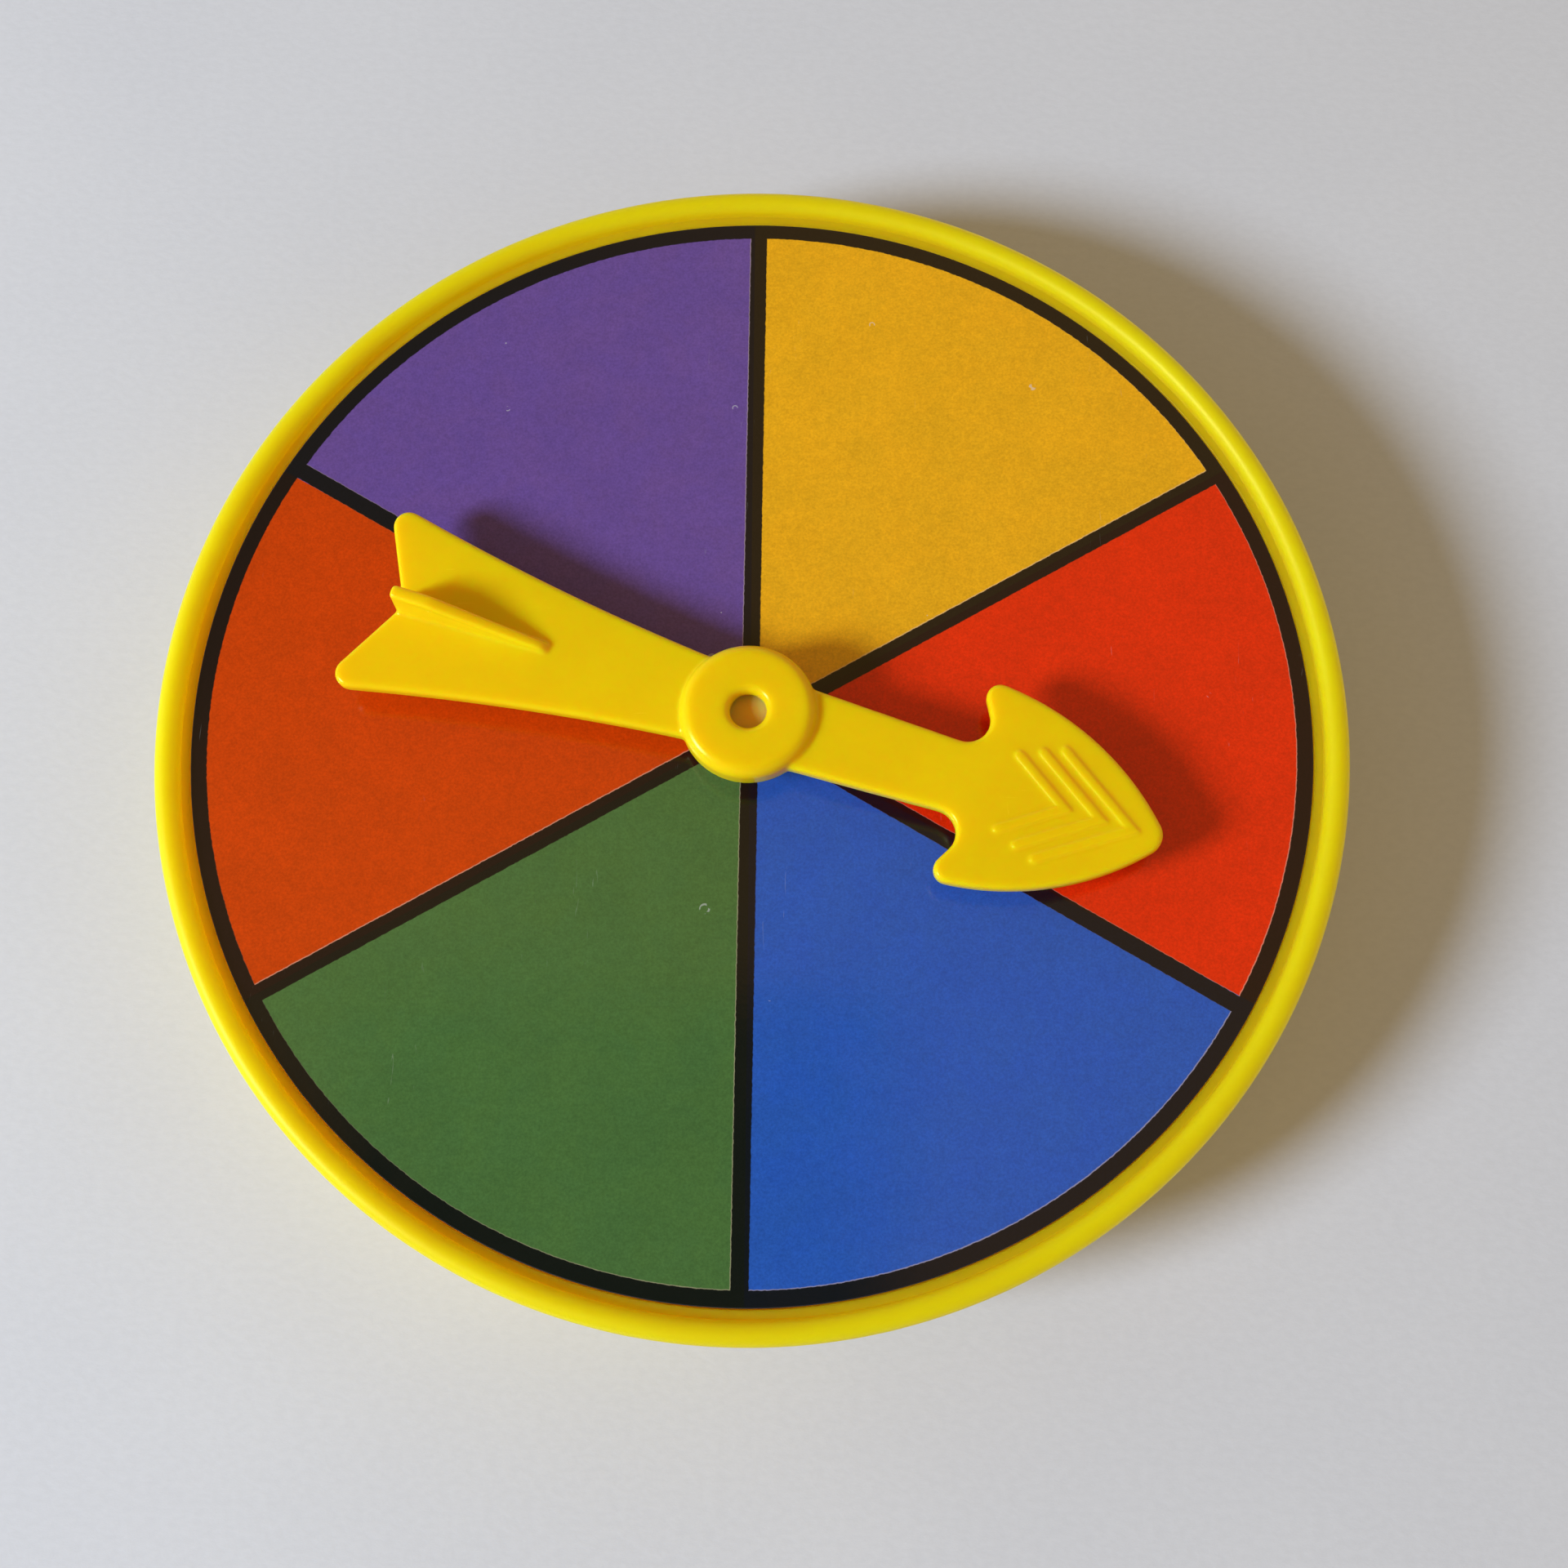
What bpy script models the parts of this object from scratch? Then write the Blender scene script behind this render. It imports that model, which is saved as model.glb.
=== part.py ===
"""Game spinner: a round tray holding a printed six-colour card, and a pointer that spins on a snap pin.

Units are metres, +Z is up, and the Z axis is the pivot. The tray's foot stands on z = 0.
"""

from math import acos, atan2, cos, pi, radians, sin, sqrt, tan

import bmesh
import bpy
from mathutils import Matrix, Vector

MM = 0.001
FIT_GAP = 0.3 * MM

# Tray
TRAY_RADIUS = 50.0 * MM
CARD_TOP = 12.5 * MM
BEAD_RADIUS = 1.0 * MM
BEAD_LIFT = 0.2 * MM
LEDGE_DROP = 0.1 * MM
LEDGE_RADIUS = 47.15 * MM
DECK_THICKNESS = 1.8 * MM
SKIRT_TOP_RADIUS = 49.35 * MM
SKIRT_FOOT_RADIUS = 48.8 * MM
SKIRT_WALL = 1.6 * MM
FOOT_ROUND = 0.25 * MM
BOSS_RADIUS = 5.0 * MM
BOSS_BOTTOM = 4.8 * MM
RIB_COUNT = 6
RIB_THICKNESS = 1.2 * MM
RIB_DEPTH = 2.5 * MM

# Printed card
CARD_THICKNESS = 0.5 * MM
CARD_RADIUS = LEDGE_RADIUS - FIT_GAP
CARD_HOLE_RADIUS = 2.4 * MM

# Pivot pin
SHANK_RADIUS = 2.0 * MM
COLLAR_RADIUS = 4.0 * MM
COLLAR_TOP = CARD_TOP + 2.5 * MM
NECK_RADIUS = 1.5 * MM
BULB_RADIUS = 2.15 * MM
BARB_RADIUS = 2.75 * MM
PIN_BOTTOM = 2.4 * MM
SLOT_WIDTH = 0.9 * MM
SLOT_TOP = 8.0 * MM

# Pointer, with +X from its tail to its tip
REST_ANGLE = radians(-17.25)
HUB_RADIUS = 5.65 * MM
HUB_BOTTOM = COLLAR_TOP + FIT_GAP
HUB_TOP = CARD_TOP + 5.5 * MM
HUB_ROUND = 1.1 * MM
PLATE_BOTTOM = CARD_TOP + 3.0 * MM
PLATE_TOP = CARD_TOP + 4.6 * MM
PLATE_ROUND = 0.4 * MM
LIP_RADIUS = 1.85 * MM
LIP_TOP = HUB_BOTTOM + 0.3 * MM
SOCKET_RADIUS = 2.6 * MM
SOCKET_TOP = HUB_BOTTOM + 1.3 * MM
EYE_RADIUS = 1.5 * MM
EYE_ROUND = 0.7 * MM
BULB_BOTTOM = LIP_TOP + FIT_GAP
BULB_TOP = BULB_BOTTOM + 0.35 * MM
DISH_RADIUS = 1.65 * MM
DISH_DEPTH = 0.5 * MM
HEAD_ARC_CENTRE = (17.4 * MM, -14.36 * MM)
HEAD_ARC_RADIUS = 23.1 * MM
TIP_ROUND = 1.7 * MM
BARB_CENTRE = (19.256 * MM, 7.512 * MM)
BARB_ROUND = 1.15 * MM
NOTCH_CENTRE = (17.2 * MM, 4.95 * MM)
NOTCH_ROUND = 1.9 * MM
NECK_START = (4.0 * MM, 3.55 * MM)
TAIL_NOTCH = -30.3 * MM
TAIL_CORNER = (-34.76 * MM, 8.62 * MM)
TAIL_ROUND = 1.28 * MM
FIN_REAR = -30.6 * MM
FIN_CREST = (-27.3 * MM, 3.35 * MM)
FIN_FRONT = -17.2 * MM
FIN_FRONT_HEIGHT = 0.62 * MM
FIN_THICKNESS = 1.15 * MM
FIN_ROUND = 0.45 * MM
GRIP_HEIGHT = 0.2 * MM
GRIP_HALF_WIDTH = 0.32 * MM
GRIP_ANGLE = radians(34.4)
GRIP_APEX_AND_LENGTH = ((26.8 * MM, 5.9 * MM), (29.75 * MM, 7.3 * MM), (32.4 * MM, 8.5 * MM))

RING_STEPS = 96
HUB_STEPS = 48


def clear_scene():
    for item in list(bpy.data.objects):
        bpy.data.objects.remove(item)


def plastic(name, colour, roughness):
    """A Principled material with one colour and no metal."""
    material = bpy.data.materials.new(name)
    material.use_nodes = True
    shader = material.node_tree.nodes["Principled BSDF"]
    shader.inputs["Base Color"].default_value = (*colour, 1.0)
    shader.inputs["Roughness"].default_value = roughness
    shader.inputs["Metallic"].default_value = 0.0
    material.diffuse_color = (*colour, 1.0)
    return material


def add_object(name, mesh, material):
    item = bpy.data.objects.new(name, mesh)
    bpy.context.scene.collection.objects.link(item)
    mesh.materials.append(material)
    return item


def arc(centre, radius, start, end, steps):
    """Points on an arc from one angle to another, both ends included."""
    turn = (end - start) / steps
    return [
        (centre[0] + radius * cos(start + turn * i), centre[1] + radius * sin(start + turn * i))
        for i in range(steps + 1)
    ]


def fillet(before, corner, after, radius, steps):
    """The arc that rounds a corner between the lines to the points before and after it."""
    corner = Vector(corner)
    back = (Vector(before) - corner).normalized()
    ahead = (Vector(after) - corner).normalized()
    half_angle = back.angle(ahead) / 2
    reach = radius / tan(half_angle)
    centre = corner + (back + ahead).normalized() * radius / sin(half_angle)
    first = corner + back * reach - centre
    last = corner + ahead * reach - centre
    start = atan2(first.y, first.x)
    sweep = (atan2(last.y, last.x) - start + pi) % (2 * pi) - pi
    return arc(centre, radius, start, start + sweep, steps)


def shade(mesh, angle=35):
    mesh.shade_smooth()
    mesh.set_sharp_from_angle(angle=radians(angle))


def turned(name, profile, material, steps, closed):
    """A profile of (radius, height) points spun about Z. An open profile starts and ends on the axis."""
    mesh = bpy.data.meshes.new(name)
    count = len(profile)
    edges = [(i, i + 1) for i in range(count - 1)]
    if closed:
        edges.append((count - 1, 0))
    mesh.from_pydata([(radius, 0.0, height) for radius, height in profile], edges, [])
    item = add_object(name, mesh, material)
    screw = item.modifiers.new("spin", "SCREW")
    screw.angle = 2 * pi
    screw.steps = steps
    screw.render_steps = steps
    screw.use_merge_vertices = True
    screw.merge_threshold = 0.00001
    screw.use_smooth_shade = True
    return item


def extruded(name, outline, bottom, top, material):
    """A flat outline in the XY plane raised from one height to another."""
    shape = bmesh.new()
    corners = [shape.verts.new((x, y, bottom)) for x, y in outline]
    base = shape.faces.new(corners)
    raised = bmesh.ops.extrude_face_region(shape, geom=[base])
    moved = [part for part in raised["geom"] if isinstance(part, bmesh.types.BMVert)]
    bmesh.ops.translate(shape, verts=moved, vec=(0.0, 0.0, top - bottom))
    bmesh.ops.recalc_face_normals(shape, faces=shape.faces)
    mesh = bpy.data.meshes.new(name)
    shape.to_mesh(mesh)
    shape.free()
    return add_object(name, mesh, material)


def round_edges(item, width, segments, angle=50):
    bevel = item.modifiers.new("rounding", "BEVEL")
    bevel.width = width
    bevel.segments = segments
    bevel.limit_method = "ANGLE"
    bevel.angle_limit = radians(angle)
    return bevel


def combine(item, other, operation):
    """A Boolean with a helper object that is left out of the model."""
    boolean = item.modifiers.new(other.name, "BOOLEAN")
    boolean.operation = operation
    boolean.solver = "EXACT"
    boolean.object = other
    other.hide_render = True
    other.display_type = "WIRE"


def join_meshes(name, items, material):
    """One helper object from several that don't touch."""
    shape = bmesh.new()
    for item in items:
        shape.from_mesh(item.data)
        bpy.data.objects.remove(item)
    mesh = bpy.data.meshes.new(name)
    shape.to_mesh(mesh)
    shape.free()
    return add_object(name, mesh, material)


def block(name, low, high, material):
    outline = [(low[0], low[1]), (high[0], low[1]), (high[0], high[1]), (low[0], high[1])]
    return extruded(name, outline, low[2], high[2], material)


def tray_profile():
    """The moulded section: rim bead, skirt, foot, hollow underside, centre boss and card recess."""
    bead_centre = (TRAY_RADIUS - BEAD_RADIUS, CARD_TOP + BEAD_LIFT)
    bead = arc(bead_centre, BEAD_RADIUS, radians(190), radians(-65), 13)
    ledge = CARD_TOP - LEDGE_DROP
    recess_floor = CARD_TOP - CARD_THICKNESS - FIT_GAP
    deck_under = recess_floor - DECK_THICKNESS
    foot_inside = SKIRT_FOOT_RADIUS - SKIRT_WALL
    shoulder = (SKIRT_TOP_RADIUS, bead[-1][1] - 0.1 * MM)
    foot = [
        (SKIRT_FOOT_RADIUS, FOOT_ROUND),
        (SKIRT_FOOT_RADIUS - FOOT_ROUND, 0.0),
        (foot_inside + FOOT_ROUND, 0.0),
        (foot_inside, FOOT_ROUND),
    ]
    inner_corner = fillet(
        foot[-1], (foot_inside - 0.3 * MM, deck_under), (BOSS_RADIUS, deck_under), 0.6 * MM, 3
    )
    boss_root = fillet(
        (foot_inside, deck_under), (BOSS_RADIUS, deck_under), (BOSS_RADIUS, BOSS_BOTTOM), 0.5 * MM, 3
    )
    hole = SHANK_RADIUS + FIT_GAP + 0.05 * MM
    boss_end = [(BOSS_RADIUS - 0.2 * MM, BOSS_BOTTOM), (hole, BOSS_BOTTOM), (hole, recess_floor)]
    recess = [(LEDGE_RADIUS, recess_floor), (LEDGE_RADIUS, ledge)]
    return bead + [shoulder] + foot + inner_corner + boss_root + boss_end + recess


def make_tray(material):
    tray = turned("tray", tray_profile(), material, RING_STEPS, closed=True)
    deck_under = CARD_TOP - CARD_THICKNESS - FIT_GAP - DECK_THICKNESS
    ribs = []
    for i in range(RIB_COUNT):
        rib = block(
            f"rib_{i}",
            (BOSS_RADIUS - 1.0 * MM, -RIB_THICKNESS / 2, deck_under - RIB_DEPTH),
            (SKIRT_FOOT_RADIUS - SKIRT_WALL + 0.6 * MM, RIB_THICKNESS / 2, deck_under + 0.8 * MM),
            material,
        )
        rib.data.transform(Matrix.Rotation(2 * pi * i / RIB_COUNT, 4, "Z"))
        ribs.append(rib)
    combine(tray, join_meshes("underside_ribs", ribs, material), "UNION")
    return tray


def make_card(material):
    bottom = CARD_TOP - CARD_THICKNESS
    profile = [
        (CARD_RADIUS, CARD_TOP),
        (CARD_RADIUS, bottom),
        (CARD_HOLE_RADIUS, bottom),
        (CARD_HOLE_RADIUS, CARD_TOP),
    ]
    return turned("printed_card", profile, material, RING_STEPS, closed=True)


def make_pin(material):
    """A collar that clamps the card, a bulb that holds the pointer, and two barbed legs below the boss."""
    barb_top = BOSS_BOTTOM - FIT_GAP - 0.05 * MM
    collar_round = arc(
        (COLLAR_RADIUS - 0.3 * MM, COLLAR_TOP - 0.3 * MM), 0.3 * MM, radians(90), 0.0, 3
    )
    profile = [
        (0.0, BULB_TOP - DISH_DEPTH),
        (DISH_RADIUS - DISH_DEPTH, BULB_TOP - DISH_DEPTH),
        (DISH_RADIUS, BULB_TOP),
        (BULB_RADIUS - 0.25 * MM, BULB_TOP),
        (BULB_RADIUS, BULB_TOP - 0.15 * MM),
        (BULB_RADIUS, BULB_BOTTOM + 0.05 * MM),
        (NECK_RADIUS, BULB_BOTTOM),
        (NECK_RADIUS, COLLAR_TOP),
        *collar_round,
        (COLLAR_RADIUS, CARD_TOP + FIT_GAP),
        (SHANK_RADIUS, CARD_TOP + FIT_GAP),
        (SHANK_RADIUS, barb_top),
        (BARB_RADIUS, barb_top),
        (BARB_RADIUS, barb_top - 0.4 * MM),
        (SHANK_RADIUS - 0.5 * MM, PIN_BOTTOM),
        (0.0, PIN_BOTTOM),
    ]
    pin = turned("pivot_pin", profile, material, HUB_STEPS, closed=False)
    half = SLOT_WIDTH / 2
    slot = block(
        "leg_slot", (-half, -2 * BARB_RADIUS, 0.0), (half, 2 * BARB_RADIUS, SLOT_TOP), material
    )
    combine(pin, slot, "DIFFERENCE")
    return pin


def tail_half_width(back):
    """The tail's half width at a distance behind the pivot: a gentle flare towards the fins."""
    return 3.25 * MM + 0.072 * back + 0.0024 * back**2 / MM


def pointer_half_outline():
    """The side at +Y, from the tail's notch to the tip."""
    notch = (TAIL_NOTCH, 0.0)
    flare_end = -31.0 * MM
    tail_tip = fillet(notch, TAIL_CORNER, (flare_end, tail_half_width(-flare_end)), TAIL_ROUND, 6)
    flare = []
    for i in range(1, 7):
        x = flare_end + (-4.0 * MM - flare_end) * i / 6
        flare.append((x, tail_half_width(-x)))
    notch_centre = Vector(NOTCH_CENTRE)
    from_neck = Vector(NECK_START) - notch_centre
    notch_start = atan2(from_neck.y, from_neck.x) + acos(NOTCH_ROUND / from_neck.length)
    to_barb = Vector(BARB_CENTRE) - notch_centre
    crossing = atan2(to_barb.y, to_barb.x) - acos((NOTCH_ROUND + BARB_ROUND) / to_barb.length)
    barb_inside = arc(NOTCH_CENTRE, NOTCH_ROUND, notch_start, crossing, 9)
    head_centre = Vector(HEAD_ARC_CENTRE)
    from_head = Vector(BARB_CENTRE) - head_centre
    head_start = atan2(from_head.y, from_head.x)
    barb_tip = arc(BARB_CENTRE, BARB_ROUND, crossing + pi, head_start, 8)
    tip_centre_x = head_centre.x + sqrt((HEAD_ARC_RADIUS - TIP_ROUND) ** 2 - head_centre.y**2)
    head_end = atan2(-head_centre.y, tip_centre_x - head_centre.x)
    head = arc(HEAD_ARC_CENTRE, HEAD_ARC_RADIUS, head_start, head_end, 9)
    tip = arc((tip_centre_x, 0.0), TIP_ROUND, head_end, 0.0, 4)
    return [notch, *tail_tip, *flare, NECK_START, *barb_inside, *barb_tip, *head[1:], *tip[1:]]


def make_plate(material):
    """The pointer's flat plate, with rounded edges."""
    side = pointer_half_outline()
    other_side = [(x, -y) for x, y in side[-2:0:-1]]
    plate = extruded("pointer", side + other_side, PLATE_BOTTOM, PLATE_TOP, material)
    round_edges(plate, PLATE_ROUND, 2)
    return plate


def make_hub(material):
    top_round = arc(
        (HUB_RADIUS - HUB_ROUND, HUB_TOP - HUB_ROUND), HUB_ROUND, radians(90), 0.0, 5
    )
    profile = [(0.0, HUB_TOP), *top_round, (HUB_RADIUS, HUB_BOTTOM), (0.0, HUB_BOTTOM)]
    return turned("hub_disc", profile, material, HUB_STEPS, closed=False)


def make_socket(material):
    """The hollow in the hub: an eye at the top, room for the pin's bulb, and a snap lip below it."""
    eye_round = arc((EYE_RADIUS + EYE_ROUND, HUB_TOP - EYE_ROUND), EYE_ROUND, radians(90), pi, 4)
    profile = [
        (0.0, HUB_TOP + 0.5 * MM),
        (EYE_RADIUS + EYE_ROUND, HUB_TOP + 0.5 * MM),
        *eye_round,
        (EYE_RADIUS, SOCKET_TOP),
        (SOCKET_RADIUS, SOCKET_TOP),
        (SOCKET_RADIUS, LIP_TOP),
        (LIP_RADIUS, LIP_TOP),
        (LIP_RADIUS, HUB_BOTTOM - 0.5 * MM),
        (0.0, HUB_BOTTOM - 0.5 * MM),
    ]
    return turned("hub_socket", profile, material, HUB_STEPS, closed=False)


def make_fin(material):
    """The upright flick fin on the tail: high at the back and sloping down to a low front."""
    half = FIN_THICKNESS / 2
    root = PLATE_TOP - 0.6 * MM
    side = [
        (FIN_REAR, root),
        (FIN_FRONT, root),
        (FIN_FRONT, PLATE_TOP + 0.1 * MM),
        (FIN_FRONT - 0.6 * MM, PLATE_TOP + FIN_FRONT_HEIGHT),
        (FIN_CREST[0], PLATE_TOP + FIN_CREST[1]),
        (FIN_REAR, PLATE_TOP + FIN_CREST[1]),
    ]
    fin = extruded("flick_fin", side, -half, half, material)
    fin.data.transform(Matrix.Rotation(radians(90), 4, "X"))
    round_edges(fin, FIN_ROUND, 3, angle=25)
    return fin


def make_grips(material):
    """Three low chevrons on the head that point to its tip."""
    chevrons = []
    reach = GRIP_HALF_WIDTH / sin(GRIP_ANGLE)
    across = Vector((sin(GRIP_ANGLE), cos(GRIP_ANGLE))) * GRIP_HALF_WIDTH
    for row, (apex, length) in enumerate(GRIP_APEX_AND_LENGTH):
        end = Vector((apex - length * cos(GRIP_ANGLE), length * sin(GRIP_ANGLE)))
        upper = [end + across, end - across]
        lower = [(x, -y) for x, y in reversed(upper)]
        outline = [(apex + reach, 0.0), *upper, (apex - reach, 0.0), *lower]
        chevrons.append(
            extruded(f"grip_{row}", outline, PLATE_TOP - 0.3 * MM, PLATE_TOP + GRIP_HEIGHT, material)
        )
    return join_meshes("grip_chevrons", chevrons, material)


def make_pointer(material):
    """The plate, hub, fin and chevrons as one moulding, turned to its rest angle about the pivot."""
    pivot = bpy.data.objects.new("pointer_pivot", None)
    bpy.context.scene.collection.objects.link(pivot)
    pivot.rotation_euler.z = REST_ANGLE
    pointer = make_plate(material)
    added = [make_hub(material), make_fin(material), make_grips(material)]
    for item in added:
        combine(pointer, item, "UNION")
    socket = make_socket(material)
    combine(pointer, socket, "DIFFERENCE")
    for item in (pointer, *added, socket):
        item.parent = pivot
    return pointer


def main():
    clear_scene()
    yellow = (0.80, 0.55, 0.01)
    make_tray(plastic("tray_plastic", yellow, 0.3))
    make_card(plastic("card_print", (0.55, 0.07, 0.02), 0.35))
    make_pin(plastic("pin_plastic", yellow, 0.35))
    make_pointer(plastic("pointer_plastic", yellow, 0.28))
    for item in bpy.data.objects:
        if item.type == "MESH":
            shade(item.data)


main()
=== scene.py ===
"""Looks of the game spinner: a finished tray, printed card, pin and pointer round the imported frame.

Lengths are metres. MM and the angles are named once, and places come from the frame's boxes.
"""

from math import acos, atan2, cos, pi, radians, sin, sqrt, tan

import bmesh
import bpy
from mathutils import Matrix, Vector, noise


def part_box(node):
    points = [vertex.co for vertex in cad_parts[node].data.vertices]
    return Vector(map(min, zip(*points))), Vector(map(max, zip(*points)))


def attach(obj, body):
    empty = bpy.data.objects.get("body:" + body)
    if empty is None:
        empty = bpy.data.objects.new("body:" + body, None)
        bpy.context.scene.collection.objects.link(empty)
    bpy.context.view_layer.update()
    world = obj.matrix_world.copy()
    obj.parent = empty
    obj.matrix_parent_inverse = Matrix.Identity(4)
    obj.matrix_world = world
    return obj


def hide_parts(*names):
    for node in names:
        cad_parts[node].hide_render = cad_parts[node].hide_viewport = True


MM = 0.001

# Print on the card: inks from the first line round, in the order of their sectors
PRINT_RADIUS = 45.7 * MM
LINE_WIDTH = 1.42 * MM
FIRST_LINE = radians(30)
SECTORS = 6
INKS = (
    ("gold", (0.814, 0.386, 0.0074)),
    ("purple", (0.132, 0.065, 0.255)),
    ("orange", (0.582, 0.047, 0.001)),
    ("green", (0.064, 0.146, 0.035)),
    ("blue", (0.019, 0.090, 0.400)),
    ("red", (0.750, 0.024, 0.002)),
)
BLACK_INK = (0.0035, 0.0035, 0.0045)
UNDER_BLACK = 0.012
PAPER = (0.80, 0.62, 0.42)
CLOUD_TINT = (0.94, 0.97, 1.04)
COLOUR_SHIFT = (0.05 * MM, -0.05 * MM)
COLOUR_TRAP = 0.005 * MM
CUT_EDGE = 1.3 * MM

# Plastic, and how many millimetres red, green and blue light travel in it
YELLOW = (0.875, 0.615, 0.003)
TRAY_YELLOW = (0.800, 0.560, 0.003)
# The pin's colour is painted shade: the orange, bounce-lit look of yellow plastic deep in the pointer's
# eye
PIN_PAINTED_SHADE_ORANGE = (0.980, 0.500, 0.100)
# Painted light on the tray's ledge: red and blue raised for light shining through the bead into the
# ledge's shade, and for a faint reflection
LEDGE_PAINTED_LIGHT = (1.22, 0.96, 1.5)
TRAY_DEPTH = (9.0, 6.0, 0.3)
POINTER_DEPTH = (2.5, 0.5, 0.08)

# Pointer, with +X from tail to tip: the outline, then the heights
REST_ANGLE = radians(-17.25)
HEAD_ARC_CENTRE = (17.4 * MM, -14.36 * MM)
HEAD_ARC_RADIUS = 23.1 * MM
TIP_ROUND = 1.7 * MM
BARB_CENTRE = (19.256 * MM, 7.512 * MM)
BARB_ROUND = 1.15 * MM
NOTCH_CENTRE = (17.2 * MM, 4.95 * MM)
NOTCH_ROUND = 1.9 * MM
NECK_START = (4.0 * MM, 3.55 * MM)
TAIL_NOTCH = -30.3 * MM
TAIL_CORNER = (-34.76 * MM, 8.62 * MM)
TAIL_ROUND = 1.28 * MM
HUB_RADIUS = 5.65 * MM
HUB_HEIGHT = 2.7 * MM
PLATE_LIFT = 0.2 * MM
PLATE_THICKNESS = 1.6 * MM

# Camera: its direction from the card, and the point on the card that it looks at
CAMERA_TILT = radians(14.22)
CAMERA_SIDE = radians(-86.17)
CAMERA_ROLL = radians(0.80)
CAMERA_AIM = (0.0640 * PRINT_RADIUS, -0.1079 * PRINT_RADIUS)
CAMERA_DISTANCE = 3.3684 * PRINT_RADIUS
CAMERA_LENS = 42.42

# Window light
KEY_AZIMUTH = radians(201)
KEY_ELEVATION = radians(33)
KEY_DISTANCE = 1.1
KEY_SIZE = 0.31
KEY_POWER = 17.0
KEY_COLOUR = (0.677, 0.80, 1.0)

# Room: a direction is measured as how far it goes across (X) and along (Y) for each unit it rises
FILL_COLOUR = (0.45, 0.44, 0.40)
OVERHEAD_COLOUR = (0.49, 0.29, 0.08)
OVERHEAD_RISE = (0.57, 0.80)
LEAST_RISE = 0.05
PATCH_COLOUR = (0.09, 0.12, 0.05)
PATCH_ACROSS = (-0.245, 0.035)
PATCH_ALONG = 0.125
PATCH_SOFT = 0.02
PATCH_WOBBLE = 0.03
WOBBLE_SIZE = 1 / 9
SHADY_ACROSS = (0.05, -0.25)
SHADY_ALONG = (0.20, 0.35)
SHADY_SHARE = 0.75
BACKDROP_COLOUR = (0.60, 0.60, 0.60)


# ---------------------------------------------------------------- mesh helpers


def arc(centre, radius, start, end, steps):
    """Points on an arc from one angle to another, both ends included."""
    turn = (end - start) / steps
    return [
        (centre[0] + radius * cos(start + turn * i), centre[1] + radius * sin(start + turn * i))
        for i in range(steps + 1)
    ]


def fillet(before, corner, after, radius, steps):
    """The arc that rounds a corner between the lines to the points before and after it."""
    corner = Vector(corner)
    back = (Vector(before) - corner).normalized()
    ahead = (Vector(after) - corner).normalized()
    half_angle = back.angle(ahead) / 2
    reach = radius / tan(half_angle)
    centre = corner + (back + ahead).normalized() * radius / sin(half_angle)
    first = corner + back * reach - centre
    last = corner + ahead * reach - centre
    start = atan2(first.y, first.x)
    sweep = (atan2(last.y, last.x) - start + pi) % (2 * pi) - pi
    return arc(centre, radius, start, start + sweep, steps)


def add_object(name, mesh):
    item = bpy.data.objects.new(name, mesh)
    bpy.context.scene.collection.objects.link(item)
    return item


def mesh_from(shape, name):
    mesh = bpy.data.meshes.new(name)
    shape.to_mesh(mesh)
    shape.free()
    return add_object(name, mesh)


def turned(name, profile, steps, closed):
    """A profile of (radius, height) points spun about Z. An open profile starts and ends on the axis."""
    shape = bmesh.new()
    points = [shape.verts.new((radius, 0.0, height)) for radius, height in profile]
    pairs = list(zip(points, points[1:]))
    if closed:
        pairs.append((points[-1], points[0]))
    lines = [shape.edges.new(pair) for pair in pairs]
    bmesh.ops.spin(
        shape, geom=points + lines, cent=(0, 0, 0), axis=(0, 0, 1), angle=2 * pi, steps=steps
    )
    bmesh.ops.remove_doubles(shape, verts=shape.verts, dist=0.002 * MM)
    bmesh.ops.recalc_face_normals(shape, faces=shape.faces)
    return mesh_from(shape, name)


def extruded(name, outline, bottom, top):
    """A flat outline in the XY plane raised from one height to another."""
    shape = bmesh.new()
    corners = [shape.verts.new((x, y, bottom)) for x, y in outline]
    base = shape.faces.new(corners)
    raised = bmesh.ops.extrude_face_region(shape, geom=[base])
    moved = [part for part in raised["geom"] if isinstance(part, bmesh.types.BMVert)]
    bmesh.ops.translate(shape, verts=moved, vec=(0.0, 0.0, top - bottom))
    bmesh.ops.recalc_face_normals(shape, faces=shape.faces)
    return mesh_from(shape, name)


def apply_modifiers(item):
    """Puts the evaluated mesh in place of the object's own."""
    graph = bpy.context.evaluated_depsgraph_get()
    evaluated = bpy.data.meshes.new_from_object(item.evaluated_get(graph))
    item.modifiers.clear()
    item.data = evaluated
    return item


def round_edges(item, width, segments, angle=50):
    bevel = item.modifiers.new("rounding", "BEVEL")
    bevel.width = width
    bevel.segments = segments
    bevel.limit_method = "ANGLE"
    bevel.angle_limit = radians(angle)
    return apply_modifiers(item)


def combine(item, others, operation):
    """Boolean with each other object in turn, which is then gone."""
    for other in others:
        boolean = item.modifiers.new(other.name, "BOOLEAN")
        boolean.operation = operation
        boolean.solver = "EXACT"
        boolean.object = other
        apply_modifiers(item)
        bpy.data.objects.remove(other)
    return item


def smooth_shaded(item, angle=40):
    item.data.shade_smooth()
    item.data.set_sharp_from_angle(angle=radians(angle))
    return item


def finish_piece(item, node, body, material):
    """Rides on its body, stands for its CAD node and takes its finish."""
    item.data.materials.clear()
    item.data.materials.append(material)
    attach(item, body)
    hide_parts(node)
    return item


# ---------------------------------------------------------------- shader helpers


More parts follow.
